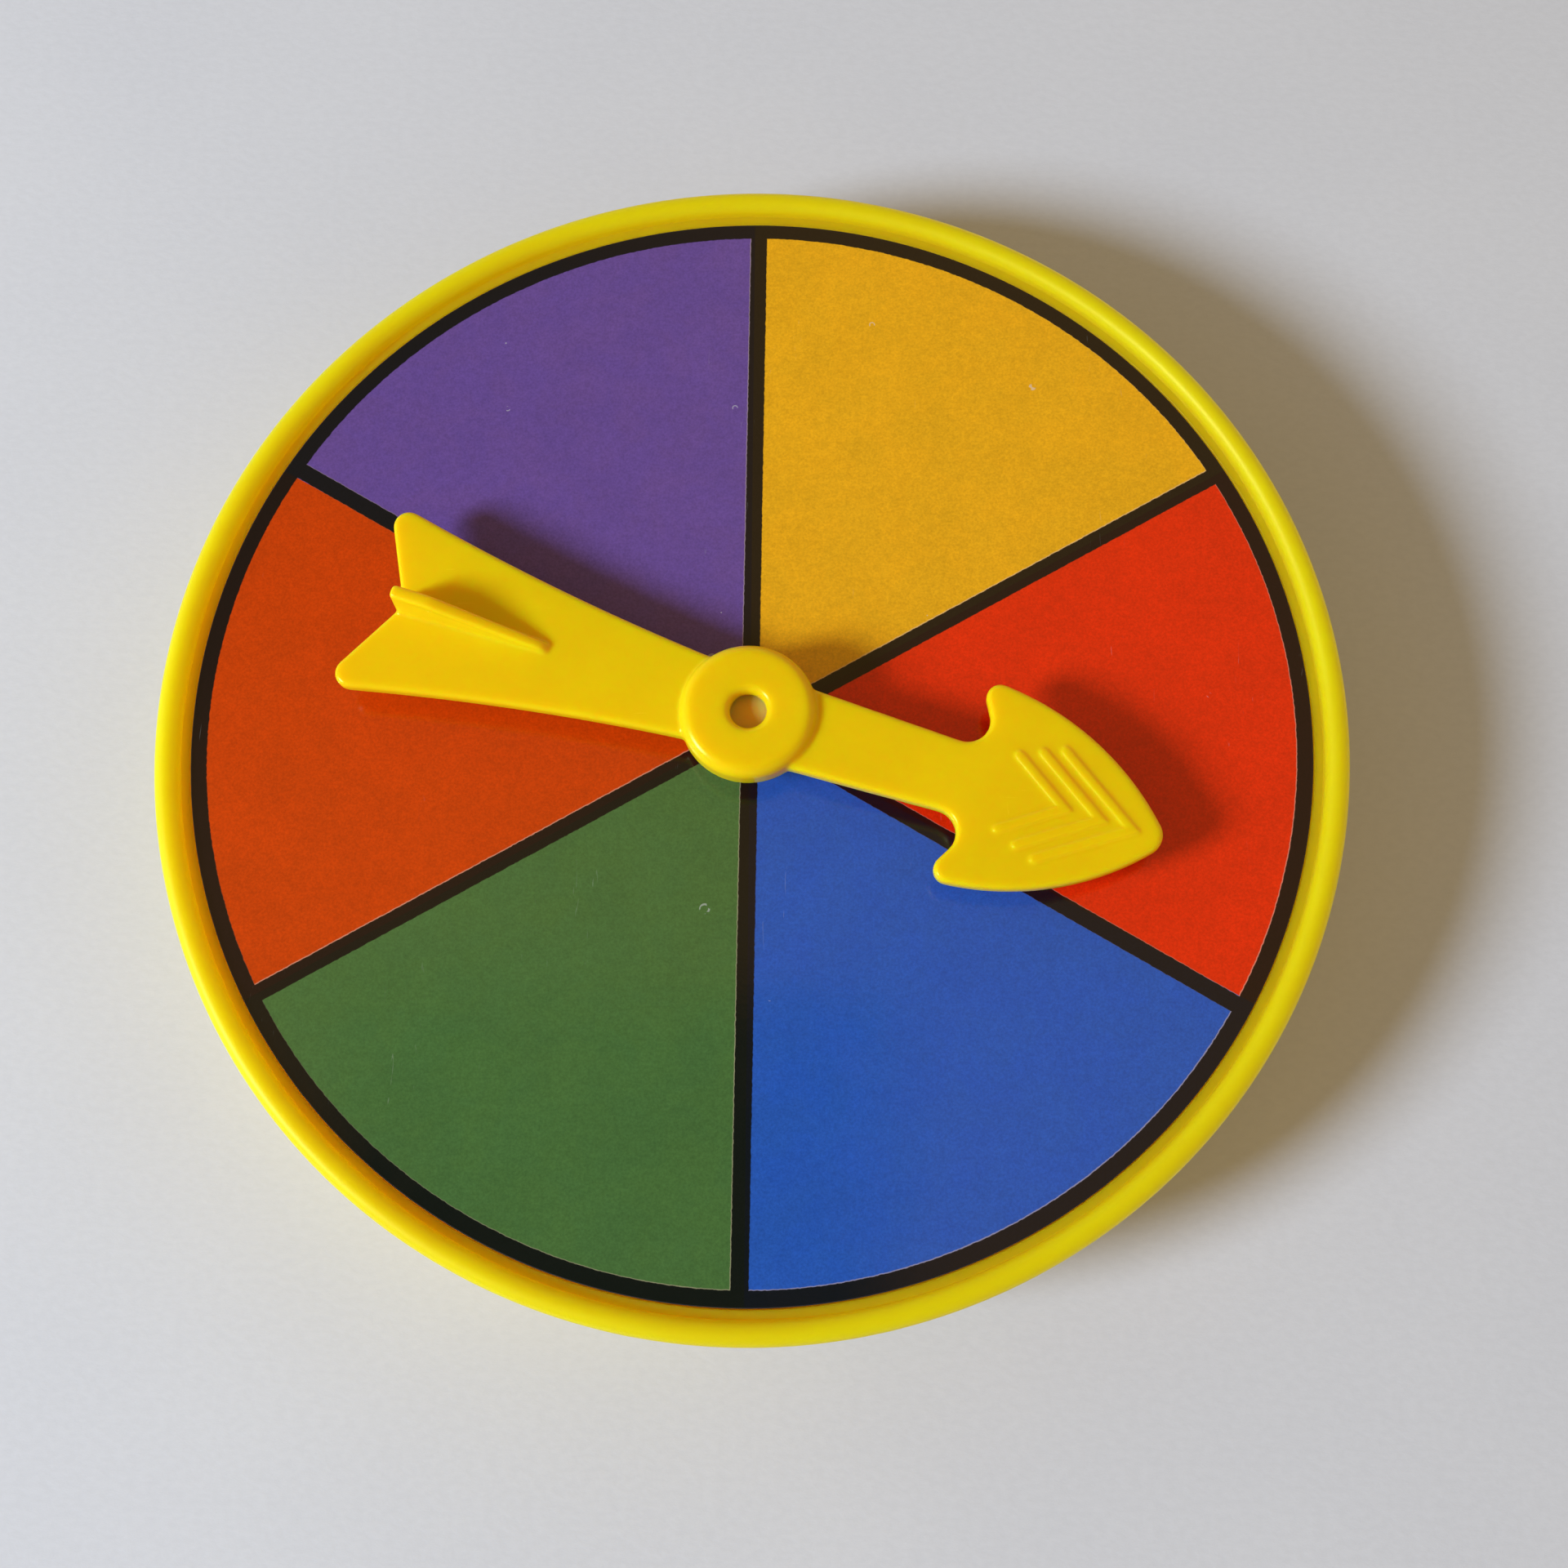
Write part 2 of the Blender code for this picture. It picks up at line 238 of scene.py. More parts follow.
class Graph:
    """A node tree with short calls for what the materials and the room below need."""

    def __init__(self, owner, shader, coordinates):
        owner.use_nodes = True
        self.owner = owner
        self.tree = owner.node_tree
        self.shader = self.tree.nodes[shader]
        self.place = self.node("ShaderNodeTexCoord").outputs[coordinates]

    def node(self, kind, **settings):
        made = self.tree.nodes.new(kind)
        for name, value in settings.items():
            setattr(made, name, value)
        return made

    def put(self, value, socket):
        """Links a socket or sets a plain value."""
        if isinstance(value, bpy.types.NodeSocket):
            self.tree.links.new(value, socket)
        else:
            socket.default_value = value

    def math(self, operation, first, second=0.0, third=0.0):
        made = self.node("ShaderNodeMath", operation=operation)
        for value, socket in zip((first, second, third), made.inputs):
            self.put(value, socket)
        return made.outputs[0]

    def scaled(self, factors):
        made = self.node("ShaderNodeVectorMath", operation="MULTIPLY")
        self.put(self.place, made.inputs[0])
        made.inputs[1].default_value = factors
        return made.outputs[0]

    def noise(self, size, detail=2.0, roughness=0.5, vector=None, distortion=0.0):
        """Noise from 0 to 1 whose features are about as large as size, in metres."""
        made = self.node("ShaderNodeTexNoise")
        self.put(self.place if vector is None else vector, made.inputs["Vector"])
        made.inputs["Scale"].default_value = 1.0 / size
        made.inputs["Detail"].default_value = detail
        made.inputs["Roughness"].default_value = roughness
        made.inputs["Distortion"].default_value = distortion
        return made.outputs["Fac"]

    def cells(self, size, vector):
        """Scattered points about size apart, in metres: the nearest one's distance and colour."""
        made = self.node("ShaderNodeTexVoronoi")
        self.put(vector, made.inputs["Vector"])
        made.inputs["Scale"].default_value = 1.0 / size
        return made.outputs

    def span(self, value, low, high, to_low=0.0, to_high=1.0):
        """Maps low..high smoothly to to_low..to_high, held at the ends."""
        made = self.node("ShaderNodeMapRange", clamp=True, interpolation_type="SMOOTHSTEP")
        for number, socket in zip((value, low, high, to_low, to_high), made.inputs):
            self.put(number, socket)
        return made.outputs[0]

    def mix(self, share, first, second, blend="MIX"):
        made = self.node("ShaderNodeMix", data_type="RGBA", blend_type=blend)
        self.put(share, made.inputs[0])
        for value, socket in zip((first, second), (made.inputs[6], made.inputs[7])):
            self.put(value if isinstance(value, bpy.types.NodeSocket) else (*value, 1.0), socket)
        return made.outputs[2]

    def brightness(self, colour, factor):
        """The colour times a grey factor."""
        made = self.node("ShaderNodeVectorMath", operation="SCALE")
        self.put(colour, made.inputs[0])
        self.put(factor, made.inputs["Scale"])
        return made.outputs[0]

    def bump(self, height, depth, strength=1.0, below=None):
        made = self.node("ShaderNodeBump")
        made.inputs["Strength"].default_value = strength
        made.inputs["Distance"].default_value = depth
        self.put(height, made.inputs["Height"])
        if below is not None:
            self.put(below, made.inputs["Normal"])
        return made.outputs[0]

    def split(self):
        made = self.node("ShaderNodeSeparateXYZ")
        self.put(self.place, made.inputs[0])
        return made.outputs

    def radius(self, x, y):
        return self.math("SQRT", self.math("MULTIPLY_ADD", x, x, self.math("MULTIPLY", y, y)))

    def set(self, **sockets):
        """Puts values in the shader's sockets and returns the material or world."""
        for name, value in sockets.items():
            self.put(value, self.shader.inputs[name.replace("_", " ")])
        return self.owner


def material_graph(name):
    return Graph(bpy.data.materials.new(name), "Principled BSDF", "Object")


PLASTIC_IOR = 1.45
PLASTIC_GLINT = (1.0, 0.85, 0.22, 1.0)
DEEPER_GREEN = 0.95
MOTTLE_SIZE = 9 * MM
FLOW_SIZE = 2.2 * MM
GRAIN_SIZE = 0.13 * MM
PEEL_SIZE = 1.3 * MM
PEEL_DEPTH = 0.006 * MM
SCRATCH_WIDTH = 0.22 * MM
SCRATCH_DEPTH = 0.003 * MM
SCRATCHED_PATCH = 12 * MM


def plastic_scratches(graph):
    """Fine scratches along X and Y, only in patches."""
    stretched_x = graph.scaled((0.06, 1.0, 1.0))
    stretched_y = graph.scaled((1.0, 0.05, 1.0))
    along_x = graph.noise(SCRATCH_WIDTH, 1.0, vector=stretched_x, distortion=0.6)
    along_y = graph.noise(SCRATCH_WIDTH + 0.03 * MM, 1.0, vector=stretched_y, distortion=0.8)
    lines = graph.math("MAXIMUM", graph.span(along_x, 0.74, 0.8), graph.span(along_y, 0.75, 0.81))
    patches = graph.span(graph.noise(SCRATCHED_PATCH, 2.0), 0.45, 0.65)
    return graph.math("MULTIPLY", lines, patches)


def painted_ledge_light_zone(graph, inner, outer):
    """1 between two radii, with soft sides: where the ledge's painted light goes."""
    x, y, _ = graph.split()
    radius = graph.radius(x, y)
    zone = graph.span(radius, outer - 0.2 * MM, outer + 0.4 * MM, 1.0, 0.0)
    return graph.math("MULTIPLY", zone, graph.span(radius, inner - 1 * MM, inner))


def yellow_plastic(name, body, roughness, wear, texture, depth, ledge=None):
    """Translucent moulded plastic: faint flow marks, mottle, a fine spark-eroded grain and scratches.

    Depth is how far red, green and blue light travel in it, in millimetres. Between the (inner, outer)
    radii of a ledge, light is painted on: red and blue are raised there and green is lowered a little.
    """
    graph = material_graph(name)
    mottle = graph.noise(MOTTLE_SIZE, 3.0)
    flow = graph.noise(FLOW_SIZE, 2.0, vector=graph.scaled((1.0, 1.8, 1.8)))
    tone = graph.span(mottle, 0.3, 0.7, 0.985, 1.0)
    tone = graph.math("ADD", tone, graph.span(flow, 0.3, 0.7, -0.006, 0.006))
    deeper = (body[0], body[1] * DEEPER_GREEN, body[2])
    colour = graph.brightness(graph.mix(graph.span(mottle, 0.35, 0.7), deeper, body), tone)
    if ledge is not None:
        # Painted light on the ledge: red and blue raised for light through the bead into its shade
        colour = graph.mix(painted_ledge_light_zone(graph, *ledge), colour, LEDGE_PAINTED_LIGHT, "MULTIPLY")
    grain = graph.noise(GRAIN_SIZE, 2.0)
    scratches = plastic_scratches(graph)
    gloss = graph.span(grain, 0.2, 0.8, roughness - 0.02, roughness + 0.04)
    gloss = graph.math("MULTIPLY_ADD", scratches, wear, gloss)
    normal = graph.bump(graph.noise(PEEL_SIZE, 1.0), PEEL_DEPTH, 0.4)
    normal = graph.bump(grain, texture, 0.5, normal)
    normal = graph.bump(scratches, -SCRATCH_DEPTH, 0.5, normal)
    return graph.set(
        Base_Color=colour,
        Roughness=gloss,
        Normal=normal,
        IOR=PLASTIC_IOR,
        Specular_Tint=PLASTIC_GLINT,
        Subsurface_Weight=1.0,
        Subsurface_Radius=depth,
        Subsurface_Scale=MM,
    )


def print_plate(graph, x, y, widen):
    """Distance in from the edge of a sector's ink, negative under the black lines, and the turn."""
    radius = graph.radius(x, y)
    angle = graph.math("ARCTAN2", y, x)
    turn = graph.math("MULTIPLY_ADD", angle, 0.5 / pi, 1.0 - FIRST_LINE / (2 * pi))
    turn = graph.math("FRACT", turn)
    within = graph.math("FRACT", graph.math("MULTIPLY", turn, SECTORS))
    nearest = graph.math("MINIMUM", within, graph.math("SUBTRACT", 1.0, within))
    sine = graph.math("SINE", graph.math("MULTIPLY", nearest, 2 * pi / SECTORS))
    off_line = graph.math("MULTIPLY_ADD", radius, sine, -LINE_WIDTH / 2 - widen)
    inside = graph.math("SUBTRACT", PRINT_RADIUS - widen, radius)
    return graph.math("MINIMUM", off_line, inside), turn


def lint(graph, size, seed, share):
    """Tiny curled fibres and specks caught on the film, as broken rings round scattered centres."""
    moved = graph.node("ShaderNodeVectorMath", operation="ADD")
    graph.put(graph.place, moved.inputs[0])
    moved.inputs[1].default_value = (seed * 11 * MM, seed * 7 * MM, 0.0)
    cell = graph.cells(size, vector=moved.outputs[0])
    ring = graph.math("ABSOLUTE", graph.math("SUBTRACT", cell["Distance"], 0.055))
    ring = graph.span(ring, 0.007, 0.014, 1.0, 0.0)
    broken = graph.span(graph.noise(0.5 * MM, 0.0, vector=moved.outputs[0]), 0.5, 0.56)
    pick = graph.node("ShaderNodeSeparateColor")
    graph.put(cell["Color"], pick.inputs[0])
    chosen = graph.math("LESS_THAN", pick.outputs[0], share)
    curls = graph.math("MULTIPLY", graph.math("MULTIPLY", ring, broken), chosen)
    speck = graph.span(cell["Distance"], 0.012, 0.02, 1.0, 0.0)
    chosen = graph.math("LESS_THAN", pick.outputs[1], share)
    return graph.math("MAXIMUM", curls, graph.math("MULTIPLY", speck, chosen))


def sector_inks(graph, turn):
    ramp = graph.node("ShaderNodeValToRGB")
    ramp.color_ramp.interpolation = "CONSTANT"
    stops = ramp.color_ramp.elements
    while len(stops) < SECTORS:
        stops.new(0.5)
    for index, (_, ink) in enumerate(INKS):
        stops[index].position = index / SECTORS
        stops[index].color = (*ink, 1.0)
    graph.put(turn, ramp.inputs[0])
    return ramp.outputs[0]


FILM_IOR = 1.5
INK_EDGE = 0.05 * MM
RAGGED = 0.03 * MM
PRINT_GRAIN = 0.22 * MM
PRINT_FIBRE = 0.7 * MM
PRINT_MOTTLE = 6 * MM
CLOUD_SIZE = 3.5 * MM
BARE_SHARE = 0.4
LINT_COLOUR = (0.62, 0.62, 0.56)
LINT_SHARE = 0.4
SCUFF_SHARE = 0.25
RIPPLE_SIZE = 9 * MM
RIPPLE_DEPTH = 0.05 * MM
FILM_PEEL_SIZE = 0.8 * MM
FILM_PEEL_DEPTH = 0.004 * MM
FILM_GRAIN_DEPTH = 0.0015 * MM


def print_colour(graph, grain):
    """Inks with grain and clouds, bare paper where a colour misses its line, and the black lines."""
    x, y, _ = graph.split()
    bleed = graph.span(graph.noise(0.4 * MM, 3.0), 0.2, 0.8, -RAGGED, RAGGED)
    black_edge, turn = print_plate(graph, x, y, 0.0)
    shifted_x = graph.math("ADD", x, COLOUR_SHIFT[0])
    shifted_y = graph.math("ADD", y, COLOUR_SHIFT[1])
    colour_edge, _ = print_plate(graph, shifted_x, shifted_y, COLOUR_TRAP)
    ink_share = graph.span(graph.math("ADD", black_edge, bleed), -0.03 * MM, INK_EDGE)
    bare = graph.span(graph.math("ADD", colour_edge, bleed), -0.04 * MM, INK_EDGE, 1.0, 0.0)

    fibre = graph.noise(PRINT_FIBRE, 3.0, 0.6)
    mottle = graph.noise(PRINT_MOTTLE, 4.0, 0.6)
    tone = graph.span(grain, 0.25, 0.75, 0.86, 1.12)
    tone = graph.math("MULTIPLY", tone, graph.span(fibre, 0.3, 0.7, 0.95, 1.05))
    tone = graph.math("MULTIPLY", tone, graph.span(mottle, 0.3, 0.7, 0.97, 1.03))
    cloud = graph.span(graph.noise(CLOUD_SIZE, 4.0, 0.65, distortion=0.4), 0.35, 0.65)
    inks = sector_inks(graph, turn)
    inks = graph.mix(cloud, graph.mix(1.0, inks, CLOUD_TINT, "MULTIPLY"), inks)
    ink = graph.mix(graph.math("MULTIPLY", bare, BARE_SHARE), graph.brightness(inks, tone), PAPER)
    black = graph.mix(UNDER_BLACK, BLACK_INK, inks)
    black = graph.brightness(black, graph.span(grain, 0.2, 0.8, 0.85, 1.2))
    return graph.mix(ink_share, black, ink), graph.radius(x, y)


def film_marks(graph):
    """Lint all over the film, and fine curved scuffs in patches."""
    fluff = graph.math("MAXIMUM", lint(graph, 7 * MM, 1, 0.18), lint(graph, 4 * MM, 2, 0.10))
    stretched = graph.scaled((0.9, 0.08, 1.0))
    scratch = graph.noise(0.2 * MM, 0.0, vector=stretched, distortion=1.4)
    patches = graph.span(graph.noise(9 * MM, 1.0), 0.56, 0.66)
    scuffs = graph.math("MULTIPLY", graph.span(scratch, 0.80, 0.88), patches)
    return graph.math("MAXIMUM", fluff, graph.math("MULTIPLY", scuffs, SCUFF_SHARE))


def printed_board(name):
    """Six inks under black lines and a gloss film, with print grain, misregistration, lint and scuffs."""
    graph = material_graph(name)
    grain = graph.noise(PRINT_GRAIN, 3.0, 0.7)
    colour, radius = print_colour(graph, grain)
    marks = film_marks(graph)
    colour = graph.mix(graph.math("MULTIPLY", marks, LINT_SHARE), colour, LINT_COLOUR)
    normal = graph.bump(graph.noise(RIPPLE_SIZE, 1.0), RIPPLE_DEPTH, 0.5)
    normal = graph.bump(graph.noise(FILM_PEEL_SIZE, 2.0), FILM_PEEL_DEPTH, 0.5, normal)
    normal = graph.bump(grain, FILM_GRAIN_DEPTH, 0.5, normal)
    gloss = graph.span(graph.noise(5 * MM, 3.0), 0.3, 0.7, 0.09, 0.14)
    gloss = graph.math("MULTIPLY_ADD", marks, 0.4, gloss)
    cut_radius = PRINT_RADIUS + CUT_EDGE
    cut = graph.span(radius, cut_radius - 0.05 * MM, cut_radius, 0.0, 0.8)
    gloss = graph.math("MAXIMUM", gloss, cut)
    return graph.set(Base_Color=colour, Roughness=gloss, Normal=normal, IOR=FILM_IOR)


def pale_table(name):
    """Matt paper-like table top."""
    graph = material_graph(name)
    fibre = graph.noise(0.6 * MM, 3.0, 0.6, vector=graph.scaled((0.6, 1.0, 1.0)))
    cloud = graph.noise(35 * MM, 3.0)
    tone = graph.span(fibre, 0.3, 0.7, 0.98, 1.015)
    tone = graph.math("MULTIPLY", tone, graph.span(cloud, 0.3, 0.7, 0.985, 1.01))
    colour = graph.brightness(graph.mix(cloud, (0.62, 0.62, 0.63), (0.63, 0.625, 0.62)), tone)
    normal = graph.bump(fibre, 0.04 * MM, 0.5)
    return graph.set(Base_Color=colour, Roughness=0.85, Normal=normal)


# ---------------------------------------------------------------- tray

TRAY_STEPS = 288
BEAD_RADIUS = 1.0 * MM
BEAD_LIFT = 0.2 * MM
LEDGE_DROP = 0.1 * MM
LEDGE_GAP = 0.3 * MM
DECK_THICKNESS = 1.8 * MM
SKIRT_INSET = 0.65 * MM
FOOT_INSET = 1.2 * MM
SKIRT_WALL = 1.6 * MM
FOOT_ROUND = 0.25 * MM
BOSS_RADIUS = 5.0 * MM
BOSS_BOTTOM = 4.8 * MM
BOSS_HOLE = 2.35 * MM
RIB_COUNT = 6
RIB_THICKNESS = 1.2 * MM
RIB_DEPTH = 2.5 * MM
FLASH = 0.035 * MM
FLASH_REACH = 0.13 * MM


def tray_profile(radius, card_radius, card_top, card_bottom):
    """Half section from the bead's inner foot, over the rim, down the skirt and back under the deck."""
    bead_centre = (radius - FLASH - BEAD_RADIUS, card_top + BEAD_LIFT)
    ledge = card_top - LEDGE_DROP
    ledge_radius = card_radius + LEDGE_GAP
    floor = card_bottom - LEDGE_GAP
    under = floor - DECK_THICKNESS
    skirt = radius - SKIRT_INSET
    foot = radius - FOOT_INSET
    foot_inside = foot - SKIRT_WALL
    bead_foot = radians(190)
    bead = arc(bead_centre, BEAD_RADIUS, bead_foot - radians(8), radians(-58), 26)
    cove = [
        (ledge_radius + 0.08 * MM, ledge),
        (bead[0][0] - 0.22 * MM, ledge),
        (bead[0][0] - 0.07 * MM, ledge + 0.03 * MM),
        (bead[0][0] - 0.01 * MM, ledge + 0.12 * MM),
    ]
    neck = fillet(bead[-1], (skirt, bead[-1][1] - 0.12 * MM), (foot, 0.0), 0.2 * MM, 4)
    foot_outside = fillet(neck[-1], (foot, 0.0), (foot_inside, 0.0), FOOT_ROUND, 5)
    foot_within = fillet(foot_outside[-1], (foot_inside, 0.0), (foot_inside, under), FOOT_ROUND, 5)
    corner = fillet(foot_within[-1], (foot_inside - 0.3 * MM, under), (BOSS_RADIUS, under), 0.6 * MM, 6)
    boss_root = fillet(corner[-1], (BOSS_RADIUS, under), (BOSS_RADIUS, BOSS_BOTTOM), 0.5 * MM, 6)
    boss_end = (BOSS_HOLE, BOSS_BOTTOM)
    boss_edge = fillet(boss_root[-1], (BOSS_RADIUS, BOSS_BOTTOM), boss_end, 0.25 * MM, 4)
    hole_edge = fillet(boss_edge[-1], boss_end, (BOSS_HOLE, floor), 0.2 * MM, 4)
    recess = [
        (BOSS_HOLE, floor),
        (ledge_radius, floor),
        (ledge_radius, ledge - 0.08 * MM),
    ]
    outside = bead + neck + foot_outside
    underneath = foot_within + corner + boss_root + boss_edge + hole_edge
    return outside + underneath + recess + cove


def add_parting_flash(mesh, radius, level):
    """The thin uneven witness line where the mould halves meet round the bead."""
    for vertex in mesh.vertices:
        out = Vector(vertex.co.xy)
        reach = out.length
        if reach < radius - 3 * FLASH or abs(vertex.co.z - level) > 0.3 * MM:
            continue
        closeness = max(0.0, 1.0 - abs(vertex.co.z - level) / FLASH_REACH)
        rough = noise.noise(Vector((out.x, out.y, 0.0)) / (1.7 * MM))
        nick = max(0.0, noise.noise(Vector((out.x, out.y, 0.1)) / (0.6 * MM)) - 0.2) * 1.5
        grow = FLASH * closeness * min(1.0, max(0.0, 0.25 + 0.6 * rough + nick))
        vertex.co.xy = out * (1 + grow / reach)


def make_tray(card_radius, card_top, card_bottom, material):
    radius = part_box("tray")[1].x
    profile = tray_profile(radius, card_radius, card_top, card_bottom)
    tray = turned("tray_moulding", profile, TRAY_STEPS, closed=True)
    under = card_bottom - LEDGE_GAP - DECK_THICKNESS
    low = BOSS_RADIUS - 1.0 * MM
    high = radius - FOOT_INSET - SKIRT_WALL + 0.6 * MM
    half = RIB_THICKNESS / 2
    outline = [(low, -half), (high, -half), (high, half), (low, half)]
    ribs = []
    for i in range(RIB_COUNT):
        rib = extruded(f"rib_{i}", outline, under - RIB_DEPTH, under + 0.8 * MM)
        round_edges(rib, 0.2 * MM, 2)
        rib.data.transform(Matrix.Rotation(2 * pi * i / RIB_COUNT, 4, "Z"))
        ribs.append(rib)
    combine(tray, ribs, "UNION")
    add_parting_flash(tray.data, radius - FLASH, card_top + BEAD_LIFT)
    smooth_shaded(tray)
    return finish_piece(tray, "tray", "base", material)


# ---------------------------------------------------------------- card

CARD_GROWTH = 0.2 * MM
CARD_HOLE = 2.4 * MM
CARD_EDGE = 0.05 * MM
CARD_RINGS = 12


def make_card(radius, top, bottom, material):
    """A die-cut disc with slightly rounded edges, which fills most of the CAD's gap round it."""
    radius += CARD_GROWTH
    outer = radius - CARD_EDGE
    inner = CARD_HOLE + CARD_EDGE
    profile = [
        (outer, top),
        (radius - 0.3 * CARD_EDGE, top - 0.3 * CARD_EDGE),
        (radius, top - CARD_EDGE),
        (radius, bottom + CARD_EDGE),
        (outer, bottom),
        (inner, bottom),
        (CARD_HOLE, bottom + CARD_EDGE),
        (CARD_HOLE, top - CARD_EDGE),
        (inner, top),
    ]
    profile += [(inner + (outer - inner) * i / CARD_RINGS, top) for i in range(1, CARD_RINGS)]
    card = smooth_shaded(turned("six_colour_card", profile, TRAY_STEPS, closed=True), 15)
    return finish_piece(card, "printed_card", "base", material)


# ---------------------------------------------------------------- pin

SHANK_RADIUS = 2.0 * MM
NECK_RADIUS = 1.5 * MM
BULB_RADIUS = 2.15 * MM
BULB_HEIGHT = 0.35 * MM
BULB_ROUND = 0.15 * MM
DISH_RADIUS = 1.65 * MM
DISH_DEPTH = 0.12 * MM
COLLAR_GAP = 0.3 * MM
COLLAR_ROUND = 0.3 * MM
COLLAR_FOOT_ROUND = 0.1 * MM
LEG_BARB_RADIUS = 2.75 * MM
LEG_BARB_GAP = 0.35 * MM
LEG_BARB_EDGE = 0.4 * MM
LEG_BARB_BREAK = 0.1 * MM
LEG_TAPER = 0.5 * MM
SLOT_WIDTH = 0.9 * MM
SLOT_LENGTH = 12 * MM
SLOT_TOP = 8.0 * MM


def pin_profile(bottom, top, collar, collar_top, card_top):
    barb_top = BOSS_BOTTOM - LEG_BARB_GAP
    collar_bottom = card_top + COLLAR_GAP
    round_centre = (collar - COLLAR_ROUND, collar_top - COLLAR_ROUND)
    foot_centre = (collar - COLLAR_FOOT_ROUND, collar_bottom + COLLAR_FOOT_ROUND)
    return [
        (0.0, top - DISH_DEPTH),
        (DISH_RADIUS - 0.5 * MM, top - 0.08 * MM),
        (DISH_RADIUS - 0.05 * MM, top - 0.02 * MM),
        (DISH_RADIUS + 0.1 * MM, top),
        *arc((BULB_RADIUS - BULB_ROUND, top - BULB_ROUND), BULB_ROUND, radians(80), 0.0, 4),
        (BULB_RADIUS, top - BULB_HEIGHT + 0.05 * MM),
        (NECK_RADIUS, top - BULB_HEIGHT),
        (NECK_RADIUS, collar_top),
        *arc(round_centre, COLLAR_ROUND, radians(90), 0.0, 5),
        *arc(foot_centre, COLLAR_FOOT_ROUND, 0.0, radians(-90), 3),
        (SHANK_RADIUS, collar_bottom),
        (SHANK_RADIUS, barb_top),
        (LEG_BARB_RADIUS - LEG_BARB_BREAK, barb_top),
        (LEG_BARB_RADIUS, barb_top - LEG_BARB_BREAK),
        (LEG_BARB_RADIUS, barb_top - LEG_BARB_EDGE),
        (SHANK_RADIUS - LEG_TAPER, bottom),
        (0.0, bottom),
    ]


def make_pin(card_top, material):
    """The snap pin: a dished bulb, neck, collar and shank, slotted into two barbed legs."""
    low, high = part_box("pivot_pin")
    collar_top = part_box("pointer")[0].z - COLLAR_GAP
    profile = pin_profile(low.z, high.z, high.x, collar_top, card_top)
    pin = turned("snap_pin", profile, 72, closed=False)
    half = SLOT_WIDTH / 2
    reach = SLOT_LENGTH / 2
    outline = [(-half, -reach), (half, -reach), (half, reach), (-half, reach)]
    slot = extruded("slot", outline, low.z - 1 * MM, SLOT_TOP)
    combine(pin, [slot], "DIFFERENCE")
    smooth_shaded(pin, 35)
    return finish_piece(pin, "pivot_pin", "base", material)


# ---------------------------------------------------------------- pointer

FIN_REAR = -30.6 * MM
FIN_CREST = (-27.3 * MM, 3.3 * MM)
FIN_FRONT = -17.2 * MM
FIN_FRONT_HEIGHT = 0.62 * MM
FIN_THICKNESS = 1.1 * MM
FIN_DRAFT = 0.45
FIN_TAPER = 0.25
FIN_ROUND = 0.5 * MM
FIN_ROOT = 0.6 * MM
GRIP_HEIGHT = 0.2 * MM
GRIP_HALF_WIDTH = 0.32 * MM
GRIP_ANGLE = radians(34.4)
GRIP_APEX_AND_LENGTH = ((26.8 * MM, 5.7 * MM), (29.75 * MM, 7.1 * MM), (32.4 * MM, 8.3 * MM))
PLATE_ROUND = 0.45 * MM
HUB_ROUND = 1.1 * MM
HUB_STEPS = 128
EYE_RADIUS = 1.5 * MM
EYE_ROUND = 0.7 * MM
LIP_RADIUS = 1.85 * MM
LIP_HEIGHT = 0.3 * MM
SOCKET_RADIUS = 2.6 * MM
SOCKET_HEIGHT = 1.3 * MM
CUTTER_EXTRA = 0.5 * MM
VOXEL = 0.13 * MM
SOFTENING_STEPS = 12


def tail_half_width(back):
    """The tail's half width at a distance behind the pivot: a gentle flare towards the fins."""
    return 3.25 * MM + 0.072 * back + 0.0024 * back**2 / MM


def pointer_half_outline():
    """The side at +Y, from the tail's notch to the tip."""
    notch = (TAIL_NOTCH, 0.0)
    flare_end = -31.0 * MM
    tail_tip = fillet(notch, TAIL_CORNER, (flare_end, tail_half_width(-flare_end)), TAIL_ROUND, 12)
    flare = []
    for i in range(1, 21):
        x = flare_end + (-4.0 * MM - flare_end) * i / 20
        flare.append((x, tail_half_width(-x)))
    notch_centre = Vector(NOTCH_CENTRE)
    from_neck = Vector(NECK_START) - notch_centre
    notch_start = atan2(from_neck.y, from_neck.x) + acos(NOTCH_ROUND / from_neck.length)
    to_barb = Vector(BARB_CENTRE) - notch_centre
    crossing = atan2(to_barb.y, to_barb.x) - acos((NOTCH_ROUND + BARB_ROUND) / to_barb.length)
    barb_inside = arc(NOTCH_CENTRE, NOTCH_ROUND, notch_start, crossing, 20)
    head_centre = Vector(HEAD_ARC_CENTRE)
    from_head = Vector(BARB_CENTRE) - head_centre
    head_start = atan2(from_head.y, from_head.x)
    barb_tip = arc(BARB_CENTRE, BARB_ROUND, crossing + pi, head_start, 16)
    tip_centre_x = head_centre.x + sqrt((HEAD_ARC_RADIUS - TIP_ROUND) ** 2 - head_centre.y**2)
    head_end = atan2(-head_centre.y, tip_centre_x - head_centre.x)
    head = arc(HEAD_ARC_CENTRE, HEAD_ARC_RADIUS, head_start, head_end, 30)
    tip = arc((tip_centre_x, 0.0), TIP_ROUND, head_end, 0.0, 10)
    return [notch, *tail_tip, *flare, NECK_START, *barb_inside, *barb_tip, *head[1:], *tip[1:]]


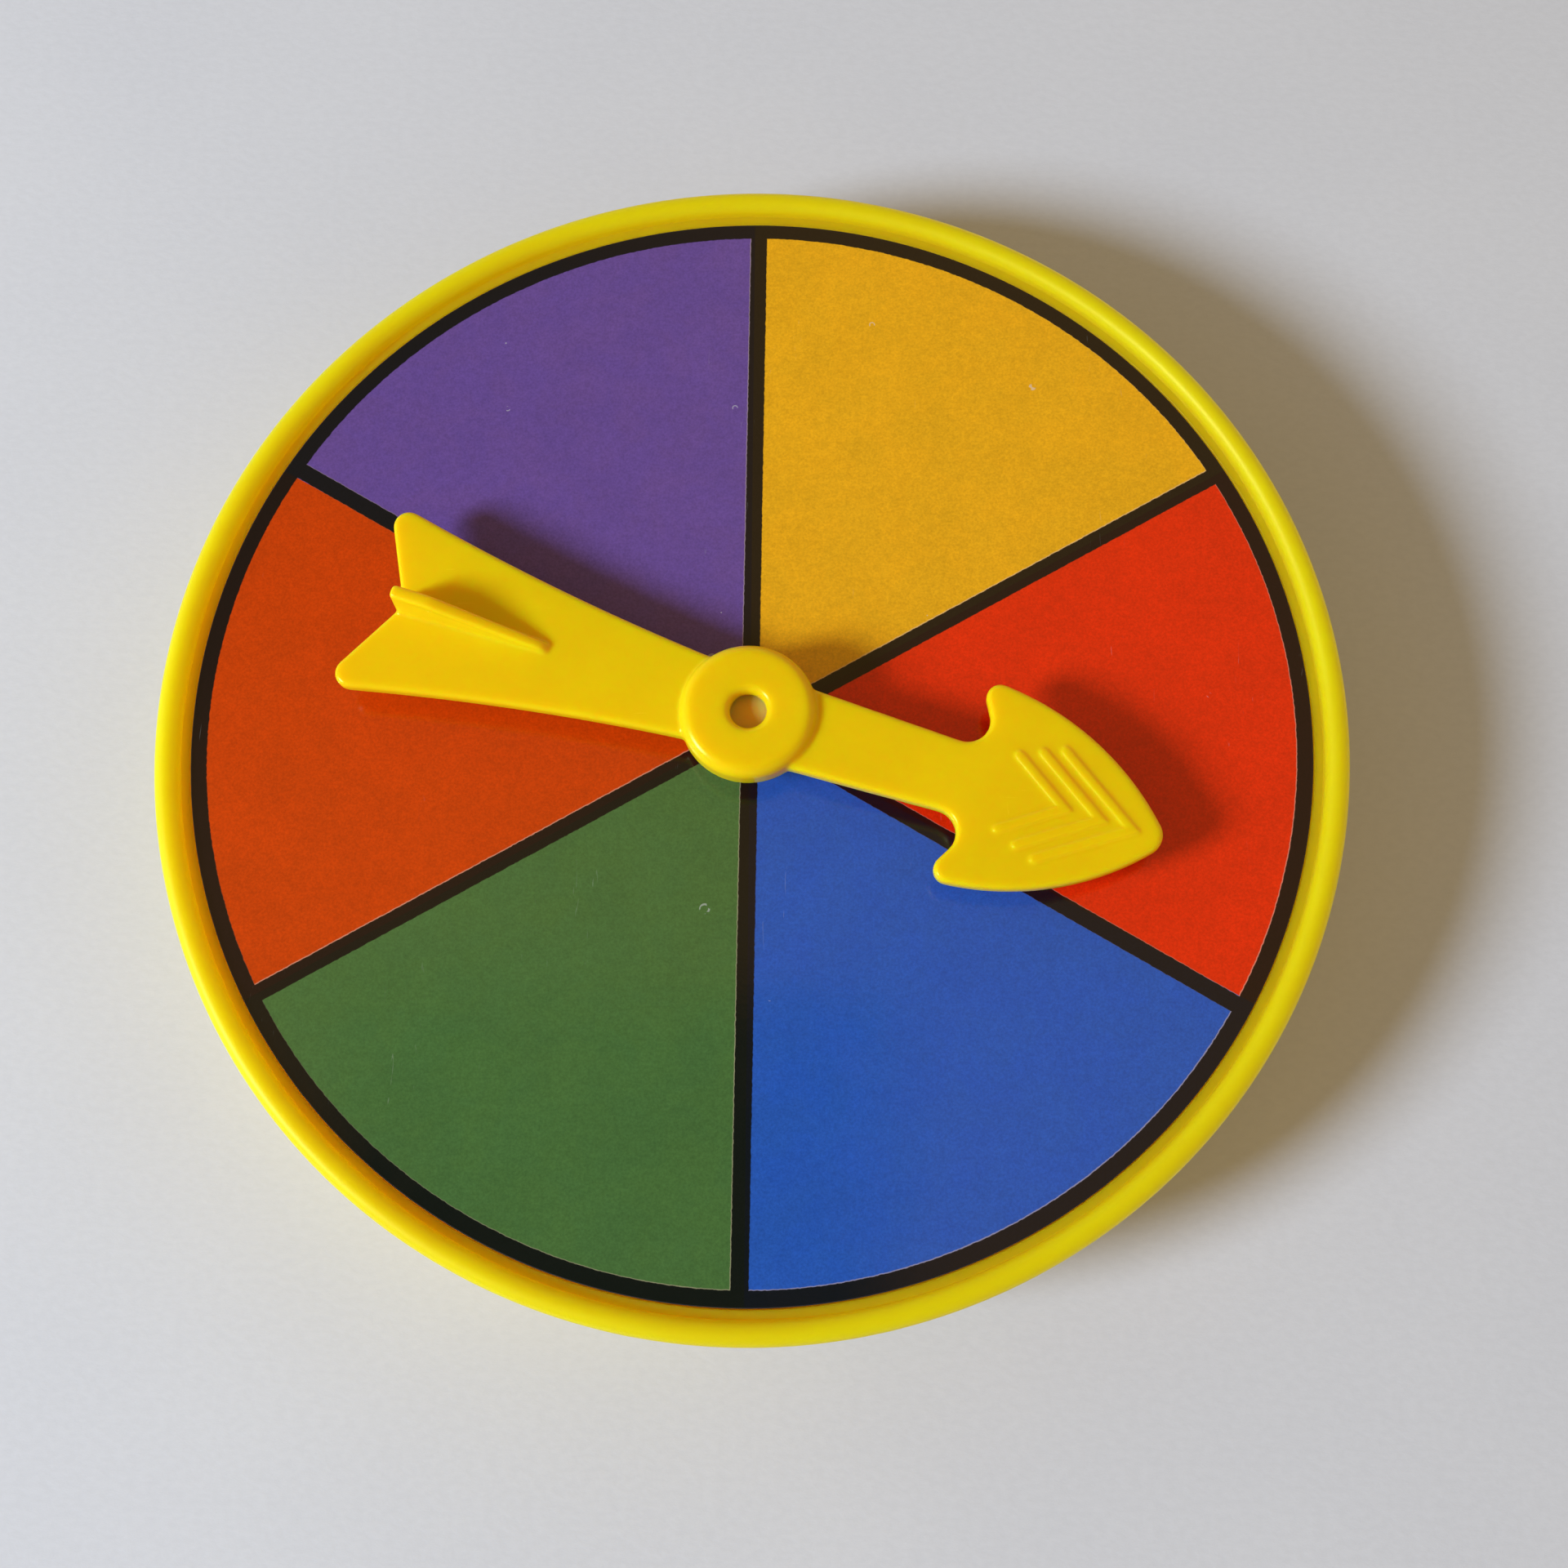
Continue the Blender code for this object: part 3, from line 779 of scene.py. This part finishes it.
def make_fin(plate_top):
    """The upright flick fin: a rounded ridge with draft, high at the back and low at the front."""
    half = FIN_THICKNESS / 2
    root = plate_top - FIN_ROOT
    crest = plate_top + FIN_CREST[1]
    front_top = plate_top + FIN_FRONT_HEIGHT
    side = [
        (FIN_REAR, root),
        (FIN_FRONT, root),
        (FIN_FRONT, plate_top),
        (FIN_FRONT - 0.6 * MM, front_top),
        (FIN_CREST[0], crest),
        (FIN_REAR, crest),
    ]
    fin = extruded("fin", side, -half, half)
    fin.data.transform(Matrix.Rotation(radians(90), 4, "X"))
    round_edges(fin, FIN_ROUND, 5, angle=10)
    for vertex in fin.data.vertices:
        along = (vertex.co.x - FIN_CREST[0]) / (FIN_FRONT - FIN_CREST[0])
        along = min(1.0, max(0.0, along))
        ridge = crest + (front_top - crest) * along
        below = max(0.0, ridge - vertex.co.z) / FIN_CREST[1]
        vertex.co.y *= (1 + FIN_DRAFT * below) * (1 - FIN_TAPER * along)
    return fin


def make_chevrons(plate_top):
    """Three low chevrons on the head that point to its tip."""
    chevrons = []
    reach = GRIP_HALF_WIDTH / sin(GRIP_ANGLE)
    for row, (apex, length) in enumerate(GRIP_APEX_AND_LENGTH):
        end = (apex - length * cos(GRIP_ANGLE), length * sin(GRIP_ANGLE))
        facing = pi / 2 - GRIP_ANGLE
        upper = arc(end, GRIP_HALF_WIDTH, facing, facing + pi, 8)
        lower = [(x, -y) for x, y in reversed(upper)]
        outline = [(apex + reach, 0.0), *upper, (apex - reach, 0.0), *lower]
        chevrons.append(
            extruded(f"chevron_{row}", outline, plate_top - 0.3 * MM, plate_top + GRIP_HEIGHT)
        )
    return chevrons


def make_hub(bottom, top):
    round_centre = (HUB_RADIUS - HUB_ROUND, top - HUB_ROUND)
    profile = [
        (0.0, top),
        *arc(round_centre, HUB_ROUND, radians(90), 0.0, 12),
        (HUB_RADIUS, bottom),
        (0.0, bottom),
    ]
    return turned("hub", profile, HUB_STEPS, closed=False)


def make_socket(bottom, top):
    """The cutter for the eye, the socket round the pin's bulb and the lip under it."""
    opening = EYE_RADIUS + EYE_ROUND
    lip_top = bottom + LIP_HEIGHT
    socket_top = bottom + SOCKET_HEIGHT
    profile = [
        (0.0, top + CUTTER_EXTRA),
        (opening, top + CUTTER_EXTRA),
        *arc((opening, top - EYE_ROUND), EYE_ROUND, radians(90), pi, 10),
        (EYE_RADIUS, socket_top),
        (SOCKET_RADIUS, socket_top),
        (SOCKET_RADIUS, lip_top),
        (LIP_RADIUS, lip_top),
        (LIP_RADIUS, bottom - CUTTER_EXTRA),
        (0.0, bottom - CUTTER_EXTRA),
    ]
    return turned("socket", profile, HUB_STEPS, closed=False)


def make_pointer(material):
    """Plate, hub, fin and chevrons in one moulding, with all inner corners softened together."""
    hub_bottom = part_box("pointer")[0].z
    hub_top = hub_bottom + HUB_HEIGHT
    plate_bottom = hub_bottom + PLATE_LIFT
    plate_top = plate_bottom + PLATE_THICKNESS
    side = pointer_half_outline()
    outline = side + [(x, -y) for x, y in side[-2:0:-1]]
    pointer = extruded("spinner_pointer", outline, plate_bottom, plate_top)
    round_edges(pointer, PLATE_ROUND, 4)
    raised = [make_hub(hub_bottom, hub_top), make_fin(plate_top), *make_chevrons(plate_top)]
    combine(pointer, raised, "UNION")
    combine(pointer, [make_socket(hub_bottom, hub_top)], "DIFFERENCE")

    remesh = pointer.modifiers.new("even_mesh", "REMESH")
    remesh.mode = "VOXEL"
    remesh.voxel_size = VOXEL
    soften = pointer.modifiers.new("moulded_radii", "SMOOTH")
    soften.factor = 0.5
    soften.iterations = SOFTENING_STEPS
    apply_modifiers(pointer)
    pointer.data.transform(Matrix.Rotation(REST_ANGLE, 4, "Z"))
    pointer.data.shade_smooth()
    return finish_piece(pointer, "pointer", "spinner", material)


# ---------------------------------------------------------------- stage


def make_floor(material):
    shape = bmesh.new()
    bmesh.ops.create_grid(shape, x_segments=8, y_segments=8, size=1.5)
    floor = mesh_from(shape, "table_top")
    floor.data.materials.append(material)
    return floor


def make_camera(card_top):
    """The photo's viewpoint, leaning a little over the near edge."""
    lean = sin(CAMERA_TILT)
    back = Vector((lean * cos(CAMERA_SIDE), lean * sin(CAMERA_SIDE), cos(CAMERA_TILT)))
    right = (-back).cross(Vector((0.0, 1.0, 0.0))).normalized()
    up = right.cross(-back)
    rolled_right = cos(CAMERA_ROLL) * right + sin(CAMERA_ROLL) * up
    rolled_up = cos(CAMERA_ROLL) * up - sin(CAMERA_ROLL) * right
    data = bpy.data.cameras.new("camera")
    data.lens = CAMERA_LENS
    data.sensor_width = 36.0
    data.clip_start = 0.01
    data.clip_end = 10.0
    camera = bpy.data.objects.new("camera", data)
    bpy.context.scene.collection.objects.link(camera)
    turn = Matrix((rolled_right, rolled_up, back)).transposed().to_4x4()
    place = Vector((*CAMERA_AIM, card_top)) + back * CAMERA_DISTANCE
    camera.matrix_world = Matrix.Translation(place) @ turn
    bpy.context.scene.camera = camera


def add_light(name, azimuth, elevation, distance, size, power, colour):
    """A round soft light that faces the object from a direction."""
    data = bpy.data.lights.new(name, "AREA")
    data.shape = "DISK"
    data.size = size
    data.energy = power
    data.color = colour
    light = bpy.data.objects.new(name, data)
    bpy.context.scene.collection.objects.link(light)
    back = Vector((cos(azimuth) * cos(elevation), sin(azimuth) * cos(elevation), sin(elevation)))
    light.location = back * distance
    light.rotation_mode = "QUATERNION"
    light.rotation_quaternion = back.to_track_quat("Z", "Y")
    return light


def make_lights():
    bpy.context.scene.view_settings.view_transform = "Standard"
    add_light("window", KEY_AZIMUTH, KEY_ELEVATION, KEY_DISTANCE, KEY_SIZE, KEY_POWER, KEY_COLOUR)
    bpy.context.scene.world = make_room()


def make_room():
    """Warm bounce from overhead and neutral light lower down.

    Two parts of the overhead light are darker: a patch over the near edge, and the far left side.
    """
    graph = Graph(bpy.data.worlds.new("studio"), "Background", "Generated")
    x, y, z = graph.split()
    rise = graph.math("MAXIMUM", z, LEAST_RISE)
    wobble = graph.math("MULTIPLY_ADD", graph.noise(WOBBLE_SIZE), PATCH_WOBBLE, -PATCH_WOBBLE / 2)
    across = graph.math("ADD", graph.math("DIVIDE", x, rise), wobble)
    along = graph.math("ADD", graph.math("DIVIDE", y, rise), wobble)
    left, right = PATCH_ACROSS
    left_side = graph.span(across, left - PATCH_SOFT, left)
    right_side = graph.span(across, right + PATCH_SOFT, right)
    patch = graph.math("MULTIPLY", left_side, right_side)
    patch = graph.math("MULTIPLY", patch, graph.span(along, PATCH_ALONG + PATCH_SOFT, PATCH_ALONG))
    shady = graph.math("MULTIPLY", graph.span(across, *SHADY_ACROSS), graph.span(along, *SHADY_ALONG))
    patch = graph.math("MAXIMUM", patch, graph.math("MULTIPLY", shady, SHADY_SHARE))
    overhead = graph.mix(patch, OVERHEAD_COLOUR, PATCH_COLOUR)
    room = graph.mix(graph.span(z, *OVERHEAD_RISE), FILL_COLOUR, overhead)
    seen_directly = graph.node("ShaderNodeLightPath").outputs["Is Camera Ray"]
    return graph.set(Color=graph.mix(seen_directly, room, BACKDROP_COLOUR), Strength=1.0)


# ---------------------------------------------------------------- build


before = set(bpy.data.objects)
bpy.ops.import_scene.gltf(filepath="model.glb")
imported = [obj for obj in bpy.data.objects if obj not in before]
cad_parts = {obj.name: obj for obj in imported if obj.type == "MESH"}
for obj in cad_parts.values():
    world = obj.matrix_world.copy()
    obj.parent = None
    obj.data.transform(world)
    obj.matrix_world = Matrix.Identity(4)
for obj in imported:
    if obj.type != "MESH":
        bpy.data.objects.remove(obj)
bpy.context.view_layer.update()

card_low, card_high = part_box("printed_card")
card_radius = card_high.x

make_camera(card_high.z)
make_lights()
make_floor(pale_table("table_paper"))
# Radii of the tray's ledge, which gets painted light
ledge = (card_radius, card_radius + 1.0 * MM)
tray_finish = yellow_plastic("tray_yellow", TRAY_YELLOW, 0.42, 0.15, 0.007 * MM, TRAY_DEPTH, ledge)
# The pin takes a painted-shade orange: the look of the yellow plastic deep in the eye
pin_finish = yellow_plastic("pin_painted_shade", PIN_PAINTED_SHADE_ORANGE, 0.45, 0.1, 0.004 * MM, POINTER_DEPTH)
pointer_finish = yellow_plastic("pointer_yellow", YELLOW, 0.21, 0.15, 0.002 * MM, POINTER_DEPTH)
make_tray(card_radius, card_high.z, card_low.z, tray_finish)
make_card(card_radius, card_high.z, card_low.z, printed_board("card_inks"))
make_pin(card_high.z, pin_finish)
make_pointer(pointer_finish)
